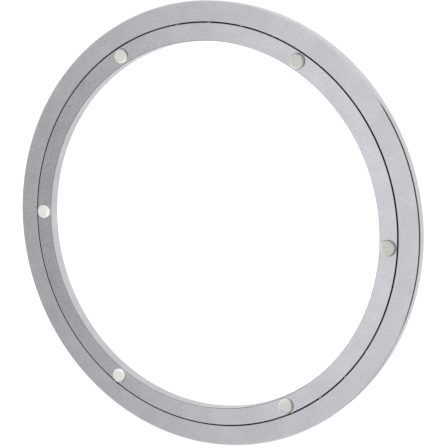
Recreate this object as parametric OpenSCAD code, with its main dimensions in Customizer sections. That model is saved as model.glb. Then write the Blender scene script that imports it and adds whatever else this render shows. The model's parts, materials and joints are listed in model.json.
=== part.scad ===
// Ring-type turntable bearing. Two flush aluminium rings turn on a caged row of balls, with soft
// bumpers on the inner ring's face and under the outer ring. It lies flat, face up. The origin is on
// its axis, in the plane that it stands on, and +Z points out of the face.

/* [Rings] */
// Outside diameter of the outer ring
outer_d = 300; // [298:1:330]
// Bore diameter of the inner ring
bore_d = 248; // [230:1:249]
// Thickness of both rings
ring_t = 8; // [8:0.5:12]
// Chamfer round the outer ring's top edge
rim_break = 0.7; // [0.3:0.1:1]
// Chamfer on the rings' other wall edges
edge_break = 0.3; // [0.1:0.1:0.6]
// Chamfer on the two edges of the slit in the top face
lip_break = 0.15; // [0.05:0.05:0.3]

/* [Ball race] */
// Diameter of the circle that the balls' centres lie on, midway in the slit between the rings
race_d = 272; // [271:1:273]
// Ball diameter
ball_d = 4; // [3.6:0.1:4.2]
// Number of balls
ball_n = 36; // [24:1:40]
// Clearance from a ball to the four flanks of the race
race_play = 0.2; // [0.15:0.05:0.3]
// Width of the slit between the rings on the top face
face_slit = 0.8; // [0.4:0.1:1]
// Width of the slit between the rings on the underside, which the cage goes in by
back_slit = 2.2; // [2.2:0.1:2.6]

/* [Ball cage] */
// Radial thickness of the cage
cage_t = 1.6; // [1.2:0.1:1.6]
// Clearance from a ball to its pocket
pocket_play = 0.25; // [0.15:0.05:0.3]
// Height of the two horns beside each ball, above the balls' centres
horn_rise = 1.5; // [1:0.1:1.6]
// Depth of the cage below the balls' centres
cage_drop = 3.4; // [3.2:0.1:3.6]

/* [Filling plug] */
// Where the filling hole goes through the outer ring's wall, as an angle round the axis
plug_angle = 195; // [191:1:199]
// Diameter of the plug, which is wider than a ball
plug_d = 4.4; // [4.4:0.1:4.8]
// Diameter of the pin that locks the plug
pin_d = 2; // [1.5:0.1:2.2]

/* [Bumpers] */
// Bumper diameter
bumper_d = 10; // [8:0.5:10]
// How far a bumper stands out of its ring
bumper_out = 2; // [1:0.1:2.5]
// Depth of the seat that a bumper is glued in
seat_depth = 0.6; // [0.3:0.1:1]
// Radius of the bumper's rounded edge
bumper_round = 0.8; // [0.3:0.1:0.9]
// Bumpers on each ring
bumper_n = 6; // [3:1:6]

/* [Hidden] */
$fn = 180;
small_fn = 48;

pitch_r = race_d / 2;
outer_r = outer_d / 2;
bore_r = bore_d / 2;
ring_z0 = bumper_out;
ring_z1 = ring_z0 + ring_t;
race_z = ring_z0 + ring_t / 2;

// The race is a 90 degree vee in each ring. Its corner is this far from the ball's centre.
vee_reach = (ball_d / 2 + race_play) * sqrt(2);
// A flat relief cuts the corner off, clear of the ball
vee_depth = ball_d / 2 + 0.7;

seat_play = 0.2;
bumper_h = seat_depth + bumper_out;
face_bumper_r = (bore_r + pitch_r) / 2;
foot_r = (pitch_r + outer_r) / 2;
// The feet stand midway between the bumpers above them
foot_turn = 180 / bumper_n;

// Half the angle that a pocket takes with its horns, and the top of the web between pockets
horn_half_angle = 1.5;
web_top = race_z - 1.2;

plug_play = 0.05;
plug_sink = 0.2;
pin_play = 0.05;
pin_r = outer_r - 4.5;
pin_sink = 0.3;
pin_top = race_z + 2.5;
pin_end_play = 0.3;

function two_digits(i) = i < 10 ? str("0", i) : str(i);
function ball_name(i) = str("ball_", two_digits(i));
function face_bumper_name(i) = str("face_bumper_", i);
function foot_name(i) = str("foot_bumper_", i);
function face_bumper_angle(i) = (i - 1) * 360 / bumper_n;
function foot_angle(i) = foot_turn + face_bumper_angle(i);
function ball_angle(i) = (i - 1) * 360 / ball_n;

BALLS = [for (i = [1:ball_n]) ball_name(i)];
FACE_BUMPERS = [for (i = [1:bumper_n]) face_bumper_name(i)];
FEET = [for (i = [1:bumper_n]) foot_name(i)];

// A ring's section as [r, z] points. side is 1 for the ring outside the balls, -1 for the inner one.
function ring_section(side, wall_r, top_break) = [
    [pitch_r + side * back_slit / 2, ring_z0],
    [wall_r - side * edge_break, ring_z0],
    [wall_r, ring_z0 + edge_break],
    [wall_r, ring_z1 - top_break],
    [wall_r - side * top_break, ring_z1],
    [pitch_r + side * (face_slit / 2 + lip_break), ring_z1],
    [pitch_r + side * face_slit / 2, ring_z1 - lip_break],
    [pitch_r + side * face_slit / 2, race_z + vee_reach - face_slit / 2],
    [pitch_r + side * vee_depth, race_z + vee_reach - vee_depth],
    [pitch_r + side * vee_depth, race_z - vee_reach + vee_depth],
    [pitch_r + side * back_slit / 2, race_z - vee_reach + back_slit / 2]
];

// Puts its children at radius r and height z, turned round the axis by an angle
module at(angle, r, z) {
    rotate([0, 0, angle]) translate([r, 0, z]) children();
}

// A rod that lies along a radius at the filling hole, from the slit to beyond the rim
module radial_rod(d) {
    at(plug_angle, pitch_r, race_z) rotate([0, 90, 0]) cylinder(d = d, h = outer_r - pitch_r + 1);
}

// A bumper standing on z = 0, with its outer edge rounded
module bumper() {
    core_r = bumper_d / 2 - bumper_round;
    rotate_extrude() {
        square([core_r, bumper_h]);
        square([bumper_d / 2, bumper_h - bumper_round]);
        translate([core_r, bumper_h - bumper_round]) circle(r = bumper_round, $fn = small_fn);
    }
}

// The shallow round seats for one ring's bumpers, cut into the face at height z
module seats(angles, r, z) {
    for (a = angles)
        at(a, r, z - seat_depth) cylinder(d = bumper_d + 2 * seat_play, h = 2 * seat_depth);
}

module outer_ring() {
    color("gainsboro") difference() {
        rotate_extrude() polygon(ring_section(1, outer_r, rim_break));
        seats([for (i = [1:bumper_n]) foot_angle(i)], foot_r, ring_z0);
        radial_rod(plug_d + 2 * plug_play);
        at(plug_angle, pin_r, 0) cylinder(d = pin_d + 2 * pin_play, h = pin_top + pin_end_play);
    }
}

module inner_ring() {
    color("gainsboro") difference() {
        rotate_extrude() polygon(ring_section(-1, bore_r, edge_break));
        seats([for (i = [1:bumper_n]) face_bumper_angle(i)], face_bumper_r, ring_z1);
    }
}

// A one-piece comb that snaps onto the balls from beneath, with two horns round each ball
module ball_cage() {
    window_angle = 360 / ball_n - 2 * horn_half_angle;
    color("dimgray") difference() {
        rotate_extrude()
            translate([pitch_r - cage_t / 2, race_z - cage_drop]) square([cage_t, cage_drop + horn_rise]);
        for (i = [1:ball_n]) {
            at(ball_angle(i), pitch_r - cage_t, race_z)
                rotate([0, 90, 0]) cylinder(d = ball_d + 2 * pocket_play, h = 2 * cage_t, $fn = small_fn);
            rotate([0, 0, ball_angle(i) + horn_half_angle]) rotate_extrude(angle = window_angle)
                translate([pitch_r - cage_t, web_top]) square([2 * cage_t, 2 * horn_rise + ball_d]);
        }
    }
}

module ball(i) {
    color("lightsteelblue") at(ball_angle(i), pitch_r, race_z) sphere(d = ball_d, $fn = small_fn);
}

// Closes the filling hole, and carries the race across it
module fill_plug() {
    color("silver") difference() {
        intersection() {
            radial_rod(plug_d);
            rotate_extrude() polygon(ring_section(1, outer_r - plug_sink, edge_break));
        }
        at(plug_angle, pin_r, 0) cylinder(d = pin_d + 2 * pin_play, h = ring_z1);
    }
}

module plug_pin() {
    color("slategray")
        at(plug_angle, pin_r, ring_z0 + pin_sink) cylinder(d = pin_d, h = pin_top - ring_z0 - pin_sink);
}

module face_bumper(i) {
    color("whitesmoke") at(face_bumper_angle(i), face_bumper_r, ring_z1 - seat_depth) bumper();
}

module foot_bumper(i) {
    color("whitesmoke")
        at(foot_angle(i), foot_r, ring_z0 + seat_depth) mirror([0, 0, 1]) bumper();
}

outer_ring();
inner_ring();
ball_cage();
fill_plug();
plug_pin();
for (i = [1:ball_n]) ball(i);
for (i = [1:bumper_n]) face_bumper(i);
for (i = [1:bumper_n]) foot_bumper(i);
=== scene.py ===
import json
import math

import bmesh
import bpy
from mathutils import Matrix, Vector


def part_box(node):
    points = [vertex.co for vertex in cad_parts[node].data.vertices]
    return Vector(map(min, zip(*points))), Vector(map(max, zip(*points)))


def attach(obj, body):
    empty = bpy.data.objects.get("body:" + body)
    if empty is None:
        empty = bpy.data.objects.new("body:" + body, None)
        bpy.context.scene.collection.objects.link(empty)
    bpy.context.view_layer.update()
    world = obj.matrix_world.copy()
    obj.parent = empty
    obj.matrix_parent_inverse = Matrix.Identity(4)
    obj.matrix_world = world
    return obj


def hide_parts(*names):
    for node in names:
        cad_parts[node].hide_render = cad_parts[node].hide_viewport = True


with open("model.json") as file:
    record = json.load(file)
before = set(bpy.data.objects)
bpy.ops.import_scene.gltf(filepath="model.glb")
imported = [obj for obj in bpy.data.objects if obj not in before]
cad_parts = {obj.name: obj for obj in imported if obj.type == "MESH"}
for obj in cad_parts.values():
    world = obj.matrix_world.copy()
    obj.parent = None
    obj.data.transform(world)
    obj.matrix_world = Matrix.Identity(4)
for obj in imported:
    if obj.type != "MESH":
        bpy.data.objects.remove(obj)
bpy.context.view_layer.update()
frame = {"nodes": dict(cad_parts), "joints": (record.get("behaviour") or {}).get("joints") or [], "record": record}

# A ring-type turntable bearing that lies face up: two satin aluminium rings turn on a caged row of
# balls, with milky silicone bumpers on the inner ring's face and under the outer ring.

MM = 0.001

# --- Sizes that the frame gives ---
MOUNTS = {m["name"]: m for m in frame["record"]["mounts"]}
JOINTS = {j["name"]: j for j in frame["joints"]}
BORE_R = MOUNTS["centre_bore"]["dims"]["r_mm"] * MM
OUTER_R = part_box("outer_ring")[1].x
RING_Z0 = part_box("outer_ring")[0].z
RING_Z1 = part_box("outer_ring")[1].z
PITCH_R = JOINTS["ball_01_roll"]["pos_m"][0]
RACE_Z = JOINTS["ball_01_roll"]["pos_m"][2]
BALL_R = (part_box("ball_01")[1].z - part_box("ball_01")[0].z) / 2
FACE_SLIT = 2 * (PITCH_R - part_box("inner_ring")[1].x)

# --- Sizes of the edges, the race and the holes, as the CAD has them ---
BACK_SLIT = 2.2 * MM
RIM_BREAK = 0.7 * MM
EDGE_BREAK = 0.3 * MM
LIP_BREAK = 0.15 * MM
RACE_PLAY = 0.2 * MM
VEE_RELIEF = 0.7 * MM
VEE_REACH = (BALL_R + RACE_PLAY) * math.sqrt(2)     # from a ball's centre to the corner of the 90 degree vee
VEE_DEPTH = BALL_R + VEE_RELIEF                     # to the flat that cuts that corner off
SEAT_PLAY = 0.2 * MM
SEAT_DEPTH = 0.6 * MM
PLUG_HOLE_R = 2.25 * MM
PIN_HOLE_R = 1.05 * MM
PIN_HOLE_RISE = 2.8 * MM        # above the balls' centres

# --- Small shapes that only the visual meshes have ---
CORNER_R = 0.05 * MM            # rounding of the rings' turned corners
GUARD = 0.03 * MM               # keeps the smooth shading of an arc off the flats beside it
BUMPER_EDGE_R = 1.2 * MM
BUMPER_DISH = 0.07 * MM
BUMPER_FOOT_BREAK = 0.1 * MM

# --- Mesh fineness ---
RING_STEPS = 480
BUMPER_STEPS = 96
CUTTER_STEPS = 64
CORNER_STEPS = 4
BUMPER_EDGE_STEPS = 10
BUMPER_DISH_STEPS = 8
CREASE_ANGLE = math.radians(35)

# --- A ring's material slots, in order: satin face, wall and edge finishes, then painted shade for the race and the seats ---
SATIN, WALL, EDGE, RACE, SEAT = range(5)

FACE_BUMPERS = sorted(n for n in frame["nodes"] if n.startswith("face_bumper"))
FOOT_BUMPERS = sorted(n for n in frame["nodes"] if n.startswith("foot_bumper"))
BALLS = sorted(n for n in frame["nodes"] if n.startswith("ball_") and n != "ball_cage")


# --- Node helpers ---

def new_material(name):
    """A material with a Principled shader: (material, node tree, shader)."""
    material = bpy.data.materials.new(name)
    material.use_nodes = True
    tree = material.node_tree
    return material, tree, tree.nodes["Principled BSDF"]


def connect(tree, source, target):
    """Feeds a socket or a plain value into another socket."""
    if isinstance(source, bpy.types.NodeSocket):
        tree.links.new(source, target)
    else:
        target.default_value = source


def math_node(tree, operation, first, second=0.0):
    """One sum. first and second are sockets or plain numbers."""
    node = tree.nodes.new("ShaderNodeMath")
    node.operation = operation
    connect(tree, first, node.inputs[0])
    connect(tree, second, node.inputs[1])
    return node.outputs[0]


def added(tree, first, second):
    return math_node(tree, "ADD", first, second)


def scaled(tree, value, factor):
    return math_node(tree, "MULTIPLY", value, factor)


def noise(tree, vector, scale, detail=2.0, roughness=0.5):
    """Soft random blotches. scale is about how many of them fit in one unit of the vector."""
    node = tree.nodes.new("ShaderNodeTexNoise")
    node.inputs["Scale"].default_value = scale
    node.inputs["Detail"].default_value = detail
    node.inputs["Roughness"].default_value = roughness
    tree.links.new(vector, node.inputs["Vector"])
    return node.outputs[0]


def remap(tree, value, source, target):
    """Carries the range source, a (low, high) pair, over to the range target, and stops at its ends."""
    node = tree.nodes.new("ShaderNodeMapRange")
    tree.links.new(value, node.inputs["Value"])
    node.inputs["From Min"].default_value = source[0]
    node.inputs["From Max"].default_value = source[1]
    node.inputs["To Min"].default_value = target[0]
    node.inputs["To Max"].default_value = target[1]
    return node.outputs["Result"]


def mix_colour(tree, factor, first, second):
    node = tree.nodes.new("ShaderNodeMix")
    node.data_type = "RGBA"
    tree.links.new(factor, node.inputs["Factor"])
    connect(tree, first, node.inputs[6])
    connect(tree, second, node.inputs[7])
    return node.outputs[2]


def between(tree, value, source, first, second):
    """A colour that goes from first to second as value crosses the range source."""
    return mix_colour(tree, remap(tree, value, source, (0.0, 1.0)), first, second)


def bump(tree, shader, height, distance, strength=1.0):
    """Raises the shader's surface by height times distance, in metres."""
    node = tree.nodes.new("ShaderNodeBump")
    node.inputs["Strength"].default_value = strength
    node.inputs["Distance"].default_value = distance
    tree.links.new(height, node.inputs["Height"])
    tree.links.new(node.outputs["Normal"], shader.inputs["Normal"])


def object_coordinates(tree):
    return tree.nodes.new("ShaderNodeTexCoord").outputs["Object"]


def stretched(tree, vector, scale, turn=0.0):
    """Coordinates turned about Z and stretched, for marks that run one way."""
    node = tree.nodes.new("ShaderNodeMapping")
    node.inputs["Rotation"].default_value = (0.0, 0.0, turn)
    node.inputs["Scale"].default_value = scale
    tree.links.new(vector, node.inputs["Vector"])
    return node.outputs[0]


def polar(tree, vector):
    """(angle round the axis in radians, radius, height) as one vector."""
    parts = tree.nodes.new("ShaderNodeSeparateXYZ")
    tree.links.new(vector, parts.inputs[0])
    x, y, z = parts.outputs
    square = added(tree, scaled(tree, x, x), scaled(tree, y, y))
    joined = tree.nodes.new("ShaderNodeCombineXYZ")
    tree.links.new(math_node(tree, "ARCTAN2", y, x), joined.inputs[0])
    tree.links.new(math_node(tree, "SQRT", square), joined.inputs[1])
    tree.links.new(z, joined.inputs[2])
    return joined.outputs[0]


def grey(level):
    return (level, level, level, 1.0)


def tinted(level, tint):
    """A tint, as three channels, at a brightness."""
    return tuple(level * channel for channel in tint) + (1.0,)


# --- Materials ---

def satin_aluminium(name, roughness):
    """Bead-blasted and clear anodised: a fine grain, a faint cloudiness and a few hairline scratches."""
    material, tree, shader = new_material(name)
    place = object_coordinates(tree)
    cloud = noise(tree, place, 55.0, detail=3.0)
    mottle = noise(tree, place, 760.0, detail=5.0, roughness=0.7)
    grain = noise(tree, place, 3800.0, roughness=0.7)
    tone = added(tree, scaled(tree, cloud, 0.35), scaled(tree, mottle, 0.65))
    dull = (0.655, 0.650, 0.694, 1.0)
    clear = (0.780, 0.774, 0.826, 1.0)
    blasted = between(tree, tone, (0.38, 0.62), dull, clear)

    # Two sets of fine streaks, each with its own direction and its own fineness along that direction
    streaks = []
    for turn, along in ((0.4, 30.0), (1.9, 70.0)):
        run = stretched(tree, place, (along, 2600.0, 60.0), turn)
        streaks.append(remap(tree, noise(tree, run, 1.0), (0.70, 0.74), (0.0, 1.0)))
    scratches = math_node(tree, "MAXIMUM", *streaks)
    bright = (0.85, 0.84, 0.875, 1.0)
    colour = mix_colour(tree, scaled(tree, scratches, 0.35), blasted, bright)
    connect(tree, colour, shader.inputs["Base Color"])

    patchy = remap(tree, mottle, (0.35, 0.65), (roughness - 0.05, roughness + 0.03))
    rough = added(tree, patchy, scaled(tree, grain, 0.05))
    polished = math_node(tree, "SUBTRACT", rough, scaled(tree, scratches, 0.08))
    connect(tree, polished, shader.inputs["Roughness"])
    shader.inputs["Metallic"].default_value = 1.0
    bump(tree, shader, added(tree, grain, scaled(tree, mottle, 0.9)), 0.028 * MM)
    return material


def turned_wall(name, brightness):
    """A ring's upright wall: duller than its face, with fine lines round the cut."""
    material, tree, shader = new_material(name)
    place = object_coordinates(tree)
    lines = noise(tree, stretched(tree, polar(tree, place), (2.0, 2600.0, 2600.0)), 1.0, detail=3.0)
    patches = noise(tree, place, 95.0, detail=3.0)
    tone = added(tree, scaled(tree, lines, 0.5), scaled(tree, patches, 0.5))
    tint = (1.0, 0.995, 1.04)
    dull = tinted(0.92 * brightness, tint)
    clear = tinted(1.08 * brightness, tint)
    colour = between(tree, tone, (0.38, 0.62), dull, clear)
    connect(tree, colour, shader.inputs["Base Color"])
    connect(tree, remap(tree, lines, (0.3, 0.7), (0.30, 0.40)), shader.inputs["Roughness"])
    shader.inputs["Metallic"].default_value = 1.0
    bump(tree, shader, lines, 0.008 * MM, 0.5)
    return material


def cut_edge(name, brightness):
    """Turned chamfers: smoother than the faces, with fine lines along the cut."""
    material, tree, shader = new_material(name)
    turned = polar(tree, object_coordinates(tree))
    lines = noise(tree, stretched(tree, turned, (3.0, 20000.0, 20000.0)), 1.0)
    nicks = noise(tree, turned, 90.0, detail=3.0)
    tint = (1.0, 0.995, 1.03)
    clear = tinted(brightness, tint)
    dull = tinted(0.88 * brightness, tint)
    colour = between(tree, nicks, (0.4, 0.7), clear, dull)
    connect(tree, colour, shader.inputs["Base Color"])
    connect(tree, remap(tree, lines, (0.3, 0.7), (0.10, 0.18)), shader.inputs["Roughness"])
    shader.inputs["Metallic"].default_value = 1.0
    bump(tree, shader, lines, 0.004 * MM, 0.4)
    return material


def greased_race():
    """The slit's walls and the race: bare metal under painted shade, near-black because the narrow slit lies deep
    in shadow, in a random mottle.
    """
    material, tree, shader = new_material("greased_race")
    race_shade_mottle = noise(tree, polar(tree, object_coordinates(tree)), 260.0, detail=4.0)
    darker_shade = (0.012, 0.012, 0.012, 1.0)
    lighter_shade = (0.040, 0.039, 0.038, 1.0)
    connect(tree, between(tree, race_shade_mottle, (0.35, 0.65), darker_shade, lighter_shade), shader.inputs["Base Color"])
    connect(tree, remap(tree, race_shade_mottle, (0.35, 0.65), (0.28, 0.5)), shader.inputs["Roughness"])
    shader.inputs["Metallic"].default_value = 0.7
    bump(tree, shader, race_shade_mottle, 0.03 * MM, 0.4)
    return material


def glued_seat():
    """The bumpers' seats: bare milled metal under painted shade, dark grey for the shadow in the thin groove round
    each bumper, in a random mottle.
    """
    material, tree, shader = new_material("glued_seat")
    seat_shade_mottle = noise(tree, object_coordinates(tree), 1100.0, detail=3.0)
    darker_shade = (0.05, 0.05, 0.048, 1.0)
    lighter_shade = (0.12, 0.12, 0.118, 1.0)
    connect(tree, between(tree, seat_shade_mottle, (0.4, 0.6), darker_shade, lighter_shade), shader.inputs["Base Color"])
    connect(tree, remap(tree, seat_shade_mottle, (0.4, 0.6), (0.3, 0.55)), shader.inputs["Roughness"])
    shader.inputs["Metallic"].default_value = 0.4
    bump(tree, shader, seat_shade_mottle, 0.03 * MM, 0.5)
    return material


def milky_silicone():
    """Translucent, slightly dusty silicone rubber."""
    material, tree, shader = new_material("milky_silicone")
    place = object_coordinates(tree)
    dust = noise(tree, place, 1500.0, detail=3.0, roughness=0.6)
    skin = noise(tree, place, 5200.0)
    clean = (0.680, 0.687, 0.652, 1.0)
    dusty = (0.570, 0.576, 0.540, 1.0)
    connect(tree, between(tree, dust, (0.4, 0.65), clean, dusty), shader.inputs["Base Color"])
    connect(tree, remap(tree, dust, (0.35, 0.65), (0.36, 0.5)), shader.inputs["Roughness"])
    shader.inputs["IOR"].default_value = 1.41
    shader.inputs["Specular IOR Level"].default_value = 0.45
    shader.inputs["Subsurface Weight"].default_value = 0.35
    shader.inputs["Subsurface Radius"].default_value = (1.0, 1.0, 0.85)
    shader.inputs["Subsurface Scale"].default_value = 0.6 * MM
    bump(tree, shader, skin, 0.010 * MM, 0.5)
    return material


def bearing_steel():
    """Ground and polished ball steel with a thin oil film."""
    material, tree, shader = new_material("bearing_steel")
    film = noise(tree, object_coordinates(tree), 700.0, detail=3.0)
    dry = (0.60, 0.60, 0.61, 1.0)
    oiled = (0.52, 0.51, 0.50, 1.0)
    connect(tree, mix_colour(tree, film, dry, oiled), shader.inputs["Base Color"])
    connect(tree, remap(tree, film, (0.35, 0.65), (0.05, 0.16)), shader.inputs["Roughness"])
    shader.inputs["Metallic"].default_value = 1.0
    return material


def black_nylon():
    """Moulded nylon with a fine eroded skin."""
    material, tree, shader = new_material("black_nylon")
    place = object_coordinates(tree)
    skin = noise(tree, place, 3000.0, detail=3.0, roughness=0.6)
    flow = noise(tree, place, 120.0)
    deep = (0.022, 0.022, 0.024, 1.0)
    pale = (0.040, 0.040, 0.043, 1.0)
    connect(tree, mix_colour(tree, flow, deep, pale), shader.inputs["Base Color"])
    connect(tree, remap(tree, skin, (0.3, 0.7), (0.42, 0.6)), shader.inputs["Roughness"])
    bump(tree, shader, skin, 0.02 * MM, 0.5)
    return material


def turned_metal(name, tint, centre, roughness):
    """A small turned piece, with ring-shaped tool marks round a centre point."""
    material, tree, shader = new_material(name)
    place = object_coordinates(tree)
    offset = tree.nodes.new("ShaderNodeVectorMath")
    offset.operation = "DISTANCE"
    tree.links.new(place, offset.inputs[0])
    offset.inputs[1].default_value = centre
    rings = math_node(tree, "SINE", scaled(tree, offset.outputs["Value"], 30000.0))
    wear = noise(tree, place, 1500.0, detail=3.0)
    dull = tinted(0.85, tint)
    clear = tinted(1.0, tint)
    connect(tree, mix_colour(tree, wear, dull, clear), shader.inputs["Base Color"])
    rough = remap(tree, rings, (-1.0, 1.0), (roughness, roughness + 0.1))
    connect(tree, rough, shader.inputs["Roughness"])
    shader.inputs["Metallic"].default_value = 1.0
    bump(tree, shader, rings, 0.010 * MM, 0.4)
    return material


# --- Mesh helpers ---

def object_of(mesh):
    """Puts a mesh in the scene as an object of the same name."""
    thing = bpy.data.objects.new(mesh.name, mesh)
    bpy.context.scene.collection.objects.link(thing)
    return thing


def built(name, builder, materials=()):
    """Turns a finished bmesh into a scene object."""
    mesh = bpy.data.meshes.new(name)
    builder.to_mesh(mesh)
    builder.free()
    for material in materials:
        mesh.materials.append(material)
    return object_of(mesh)


def hoop(builder, r, z, steps):
    """A circle of new vertices round Z."""
    angles = (2 * math.pi * k / steps for k in range(steps))
    return [builder.verts.new((r * math.cos(a), r * math.sin(a), z)) for a in angles]


def rounded(corners, radius):
    """Rounds a closed section's corners. Each corner is (r, z, finish of the edge after it).

    Returns (points, finishes), where finishes[i] is that of the stretch from point i to the next one.
    Guard points beside each arc keep the smooth shading off the flats.
    """
    points = []
    finishes = []
    for i, (r, z, finish) in enumerate(corners):
        here = Vector((r, z))
        finish_before = corners[i - 1][2]
        back = (Vector(corners[i - 1][:2]) - here).normalized()
        ahead = (Vector(corners[(i + 1) % len(corners)][:2]) - here).normalized()
        half = back.angle(ahead) / 2
        cut = radius / math.tan(half)
        centre = here + (back + ahead).normalized() * radius / math.sin(half)
        start = here + back * cut - centre
        end = here + ahead * cut - centre
        arc_finish = RACE if finish == RACE and finish_before == RACE else EDGE
        points.append(centre + start + back * GUARD)
        finishes.append(finish_before)
        for step in range(CORNER_STEPS + 1):
            arm = start.slerp(end, step / CORNER_STEPS).normalized()
            points.append(centre + arm * radius)
            finishes.append(arc_finish if step < CORNER_STEPS else finish)
        points.append(centre + end + ahead * GUARD)
        finishes.append(finish)
    return points, finishes


def lathe(name, points, finishes, materials):
    """Turns a closed section of (r, z) points round Z into a mesh object."""
    builder = bmesh.new()
    hoops = [hoop(builder, r, z, RING_STEPS) for r, z in points]
    for i, finish in enumerate(finishes):
        this = hoops[i]
        following = hoops[(i + 1) % len(hoops)]
        for k in range(RING_STEPS):
            n = (k + 1) % RING_STEPS
            face = builder.faces.new((this[k], this[n], following[n], following[k]))
            face.material_index = finish
    bmesh.ops.recalc_face_normals(builder, faces=builder.faces)
    return built(name, builder, materials)


def spun(name, points, material):
    """Turns an open section that starts and ends on the axis into a closed mesh object."""
    builder = bmesh.new()
    first = builder.verts.new((0, 0, points[0].y))
    last = builder.verts.new((0, 0, points[-1].y))
    hoops = [hoop(builder, r, z, BUMPER_STEPS) for r, z in points[1:-1]]
    for k in range(BUMPER_STEPS):
        n = (k + 1) % BUMPER_STEPS
        builder.faces.new((first, hoops[0][n], hoops[0][k]))
        builder.faces.new((last, hoops[-1][k], hoops[-1][n]))
        for this, following in zip(hoops, hoops[1:]):
            builder.faces.new((this[k], this[n], following[n], following[k]))
    bmesh.ops.recalc_face_normals(builder, faces=builder.faces)
    return built(name, builder, [material])


def rod(name, radius, low, high, matrix, finish):
    """A cutter: a plain round bar from low to high along its own Z. finish is that of the hole it leaves."""
    builder = bmesh.new()
    middle = Matrix.Translation((0, 0, (low + high) / 2))
    bmesh.ops.create_cone(builder, cap_ends=True, segments=CUTTER_STEPS, radius1=radius, radius2=radius,
                          depth=high - low, matrix=matrix @ middle)
    for face in builder.faces:
        face.material_index = finish
    return built(name, builder)


def cut_away(piece, cutters):
    """Cuts the cutters out of a piece and removes them."""
    for cutter in cutters:
        modifier = piece.modifiers.new("cut", "BOOLEAN")
        modifier.object = cutter
        modifier.operation = "DIFFERENCE"
        modifier.solver = "MANIFOLD"
    graph = bpy.context.evaluated_depsgraph_get()
    result = bpy.data.meshes.new_from_object(piece.evaluated_get(graph))
    piece.modifiers.clear()
    piece.data = result
    for cutter in cutters:
        bpy.data.objects.remove(cutter)


def soften(piece):
    """Smooth shading everywhere but across real edges."""
    piece.data.shade_smooth()
    piece.data.set_sharp_from_angle(angle=CREASE_ANGLE)


def centre_of(node):
    low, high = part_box(node)
    return (low + high) / 2


# --- The two rings ---

def ring_corners(side, wall_r, top_break):
    """A ring's section. side is 1 for the ring outside the balls and -1 for the one inside."""
    slit = FACE_SLIT / 2
    back = BACK_SLIT / 2
    return [
        (PITCH_R + side * back, RING_Z0, SATIN),
        (wall_r - side * EDGE_BREAK, RING_Z0, EDGE),
        (wall_r, RING_Z0 + EDGE_BREAK, WALL),
        (wall_r, RING_Z1 - top_break, EDGE),
        (wall_r - side * top_break, RING_Z1, SATIN),
        (PITCH_R + side * (slit + LIP_BREAK), RING_Z1, EDGE),
        (PITCH_R + side * slit, RING_Z1 - LIP_BREAK, RACE),
        (PITCH_R + side * slit, RACE_Z + VEE_REACH - slit, RACE),
        (PITCH_R + side * VEE_DEPTH, RACE_Z + VEE_REACH - VEE_DEPTH, RACE),
        (PITCH_R + side * VEE_DEPTH, RACE_Z - VEE_REACH + VEE_DEPTH, RACE),
        (PITCH_R + side * back, RACE_Z - VEE_REACH + back, RACE),
    ]


def seat_cutters(bumpers, face_z):
    """Bars that cut the shallow seats of one ring's bumpers."""
    cutters = []
    for node in bumpers:
        low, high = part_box(node)
        centre = centre_of(node)
        cutters.append(rod("seat_cutter", (high.y - low.y) / 2 + SEAT_PLAY, face_z - SEAT_DEPTH,
                           face_z + SEAT_DEPTH, Matrix.Translation((centre.x, centre.y, 0)), SEAT))
    return cutters


def plug_cutters():
    """Bars that cut the filling hole and the hole of the pin that locks its plug."""
    past_the_rim = 1 * MM
    along_radius = Matrix.Rotation(PLUG_TURN, 4, "Z") @ Matrix.Rotation(math.pi / 2, 4, "Y")
    pin = centre_of("plug_pin")
    return [rod("plug_cutter", PLUG_HOLE_R, PITCH_R, OUTER_R + past_the_rim,
                Matrix.Translation((0, 0, RACE_Z)) @ along_radius, WALL),
            rod("pin_cutter", PIN_HOLE_R, 0.0, RACE_Z + PIN_HOLE_RISE,
                Matrix.Translation((pin.x, pin.y, 0)), WALL)]


def build_ring(node, body, side, wall_r, top_break, cutters, materials):
    """A turned ring with its seats and holes cut, which stands for its CAD node."""
    points, finishes = rounded(ring_corners(side, wall_r, top_break), CORNER_R)
    ring = lathe(node + "_turned", points, finishes, materials)
    cut_away(ring, cutters)
    soften(ring)
    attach(ring, body)
    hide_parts(node)


# --- Bumpers ---

def bumper_section(radius, height):
    """Half of a bumper's section on z = 0: from the middle of its foot, round its edge, to its dished top."""
    flat = radius - BUMPER_EDGE_R
    points = [Vector((0.0, 0.0)), Vector((radius - BUMPER_FOOT_BREAK, 0.0)),
              Vector((radius, BUMPER_FOOT_BREAK))]
    for step in range(BUMPER_EDGE_STEPS + 1):
        a = math.pi / 2 * step / BUMPER_EDGE_STEPS
        points.append(Vector((flat + BUMPER_EDGE_R * math.cos(a),
                              height - BUMPER_EDGE_R + BUMPER_EDGE_R * math.sin(a))))
    for step in range(1, BUMPER_DISH_STEPS):
        r = flat * (1 - step / BUMPER_DISH_STEPS)
        sink = BUMPER_DISH * math.sin(math.pi / 2 * (1 - r / flat)) ** 2
        points.append(Vector((r, height - sink)))
    points.append(Vector((0.0, height - BUMPER_DISH)))
    return points


def build_bumpers(nodes, body, upwards, material):
    """One ring's bumpers, which stand up from their seats or hang down from them."""
    for node in nodes:
        low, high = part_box(node)
        centre = centre_of(node)
        seat_z = low.z if upwards else high.z
        flip = Matrix.Identity(4) if upwards else Matrix.Diagonal((1, -1, -1, 1))
        section = bumper_section((high.y - low.y) / 2, high.z - low.z)
        piece = spun(node + "_moulded", section, material)
        piece.data.transform(Matrix.Translation((centre.x, centre.y, seat_z)) @ flip)
        soften(piece)
        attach(piece, body)
        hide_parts(node)


# --- Pieces that keep their CAD mesh ---

def finish_node(node, material):
    """Gives a CAD node's mesh its material."""
    mesh = frame["nodes"][node].data
    mesh.materials.clear()
    mesh.materials.append(material)


# --- Build ---

PLUG_TURN = math.atan2(centre_of("fill_plug").y, centre_of("fill_plug").x)
PLUG_FACE = Vector((OUTER_R * math.cos(PLUG_TURN), OUTER_R * math.sin(PLUG_TURN), RACE_Z))

# The race and the seats get painted shade: near-black in the slit, dark grey in the bumpers' seat grooves.
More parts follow.
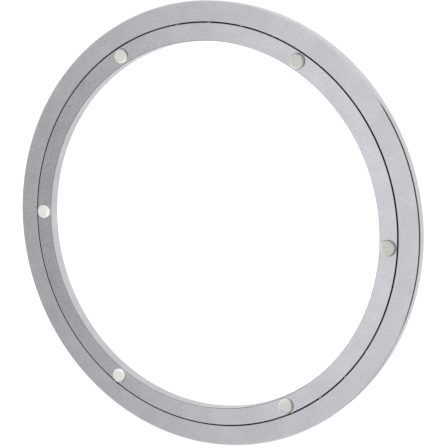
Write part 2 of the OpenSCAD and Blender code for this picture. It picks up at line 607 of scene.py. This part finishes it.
race_painted_shade = greased_race()
seat_painted_shade = glued_seat()
outer_slot_materials = [satin_aluminium("satin_face", roughness=0.30),
                  turned_wall("rim_wall", brightness=0.55),
                  cut_edge("rim_edge", brightness=0.60), race_painted_shade, seat_painted_shade]
# The inner ring's wall and edges are the outer ring's metal painted darker: painted shade on the bore wall, and a
# painted dark line along the bore's chamfers and corner roundings.
inner_slot_materials = [satin_aluminium("fine_satin_face", roughness=0.17),
                  turned_wall("bore_wall", brightness=0.40),
                  cut_edge("bore_edge", brightness=0.28), race_painted_shade, seat_painted_shade]
build_ring("outer_ring", "base", side=1, wall_r=OUTER_R, top_break=RIM_BREAK,
           cutters=seat_cutters(FOOT_BUMPERS, RING_Z0) + plug_cutters(), materials=outer_slot_materials)
build_ring("inner_ring", "turntable", side=-1, wall_r=BORE_R, top_break=EDGE_BREAK,
           cutters=seat_cutters(FACE_BUMPERS, RING_Z1), materials=inner_slot_materials)

silicone = milky_silicone()
build_bumpers(FACE_BUMPERS, "turntable", upwards=True, material=silicone)
build_bumpers(FOOT_BUMPERS, "base", upwards=False, material=silicone)

steel = bearing_steel()
for ball in BALLS:
    finish_node(ball, steel)
finish_node("ball_cage", black_nylon())
finish_node("fill_plug", turned_metal("turned_aluminium", tint=(0.74, 0.74, 0.75), centre=PLUG_FACE,
                                      roughness=0.24))
finish_node("plug_pin", turned_metal("ground_steel", tint=(0.5, 0.5, 0.51), centre=centre_of("plug_pin"),
                                     roughness=0.2))


# --- Stage ---

# Half the floor's side, and the flags' distance from the axis and lowest height, all in metres
FLOOR_HALF = 12.0
FLAG_REACH = 1.1
FLAG_LOW = 0.20
FLAG_STEPS = 24

# The camera and the point that it aims at, in metres from the middle of the rings' face, before both are
# turned round the axis
CAMERA_PLACE = (0.3507, 0.0904, 0.6400)
CAMERA_AIM = (0.0163, 0.0029, 0.0)
CAMERA_TURN = math.radians(5.4)
# Its lens and the width of its sensor, in millimetres
CAMERA_LENS = 88.16
CAMERA_SENSOR = 36.0


def build_floor():
    """A white floor that glows a little, so that it stays white under the soft light."""
    mesh = bpy.data.meshes.new("floor")
    corners = [(-FLOOR_HALF, -FLOOR_HALF, 0), (FLOOR_HALF, -FLOOR_HALF, 0),
               (FLOOR_HALF, FLOOR_HALF, 0), (-FLOOR_HALF, FLOOR_HALF, 0)]
    mesh.from_pydata(corners, [], [(0, 1, 2, 3)])
    material, _, shader = new_material("pale_floor")
    shader.inputs["Base Color"].default_value = grey(0.40)
    shader.inputs["Emission Color"].default_value = grey(1.0)
    shader.inputs["Emission Strength"].default_value = 0.90
    shader.inputs["Roughness"].default_value = 0.7
    shader.inputs["Specular IOR Level"].default_value = 0.1
    mesh.materials.append(material)
    object_of(mesh)


def build_flag(name, azimuths, height):
    """A curved black flag that stands round the object. The camera doesn't see it, and it casts no shadow.

    azimuths are the directions from the axis, in degrees, where it starts and ends.
    """
    start, end = (math.radians(a) for a in azimuths)
    vertices = []
    for k in range(FLAG_STEPS + 1):
        a = start + (end - start) * k / FLAG_STEPS
        vertices += [(FLAG_REACH * math.cos(a), FLAG_REACH * math.sin(a), z) for z in (FLAG_LOW, height)]
    faces = [(2 * k, 2 * k + 2, 2 * k + 3, 2 * k + 1) for k in range(FLAG_STEPS)]
    mesh = bpy.data.meshes.new(name)
    mesh.from_pydata(vertices, [], faces)
    material, _, shader = new_material("black_cloth")
    shader.inputs["Base Color"].default_value = grey(0.012)
    shader.inputs["Roughness"].default_value = 0.9
    mesh.materials.append(material)
    flag = object_of(mesh)
    flag.visible_camera = False
    flag.visible_shadow = False
    return flag


def build_dome():
    """A white tent over the object, with a grey wall on the left, and a little dimmer at the front."""
    grey_wall = 0.375
    white_wall = 0.87
    wall_edge = (-0.57, -0.43)      # where one turns into the other, as a direction's distance across
    wall_slant = 0.06
    middle_level = 1.04
    front_to_back = 0.25
    world = bpy.data.worlds.new("tent")
    bpy.context.scene.world = world
    world.use_nodes = True
    tree = world.node_tree
    direction = tree.nodes.new("ShaderNodeTexCoord").outputs["Generated"]
    parts = tree.nodes.new("ShaderNodeSeparateXYZ")
    tree.links.new(direction, parts.inputs[0])
    x = parts.outputs["X"]
    y = parts.outputs["Y"]
    across = added(tree, x, scaled(tree, y, wall_slant))
    fall_off = added(tree, scaled(tree, y, front_to_back), middle_level)
    level = scaled(tree, remap(tree, across, wall_edge, (grey_wall, white_wall)), fall_off)
    shade = tree.nodes.new("ShaderNodeCombineColor")
    for channel in shade.inputs[:3]:
        tree.links.new(level, channel)
    background = tree.nodes["Background"]
    tree.links.new(shade.outputs[0], background.inputs["Color"])
    background.inputs["Strength"].default_value = 1.0


def build_lamp(name, position, size, watts):
    """A soft round lamp aimed at the origin. It leaves no highlight of its own in the metal."""
    light = bpy.data.lights.new(name, "AREA")
    light.shape = "DISK"
    light.size = size
    light.energy = watts
    lamp = bpy.data.objects.new(name, light)
    lamp.location = position
    lamp.rotation_euler = (-Vector(position)).to_track_quat("-Z", "Y").to_euler()
    lamp.visible_glossy = False
    bpy.context.scene.collection.objects.link(lamp)


def build_camera():
    """A long lens, well above the face. across is the direction that lies level in the picture."""
    turn = Matrix.Rotation(CAMERA_TURN, 4, "Z")
    face_middle = Vector((0, 0, RING_Z1))
    place = turn @ Vector(CAMERA_PLACE) + face_middle
    aim = turn @ Vector(CAMERA_AIM) + face_middle
    across = turn @ Vector((1, 0, 0))
    back = (place - aim).normalized()
    up = back.cross(across).normalized()
    right = up.cross(back)
    data = bpy.data.cameras.new("camera")
    data.lens = CAMERA_LENS
    data.sensor_width = CAMERA_SENSOR
    data.clip_start = 0.01
    camera = bpy.data.objects.new("camera", data)
    camera.matrix_world = Matrix.Translation(place) @ Matrix((right, up, back)).transposed().to_4x4()
    bpy.context.scene.collection.objects.link(camera)
    bpy.context.scene.camera = camera


build_floor()
# The low flag shows in the metal as the dark line along the rim's chamfer. The round flag isn't seen
# in the metal, and only takes the low light off the bumpers' sides.
build_flag("low_flag", azimuths=(-36, 44), height=0.42)
round_flag = build_flag("round_flag", azimuths=(-180, 180), height=2.0)
round_flag.visible_glossy = False
build_dome()
build_lamp("key", position=(-0.03, -0.01, 0.16), size=0.05, watts=0.48)
build_camera()
bpy.context.scene.view_settings.view_transform = "Standard"
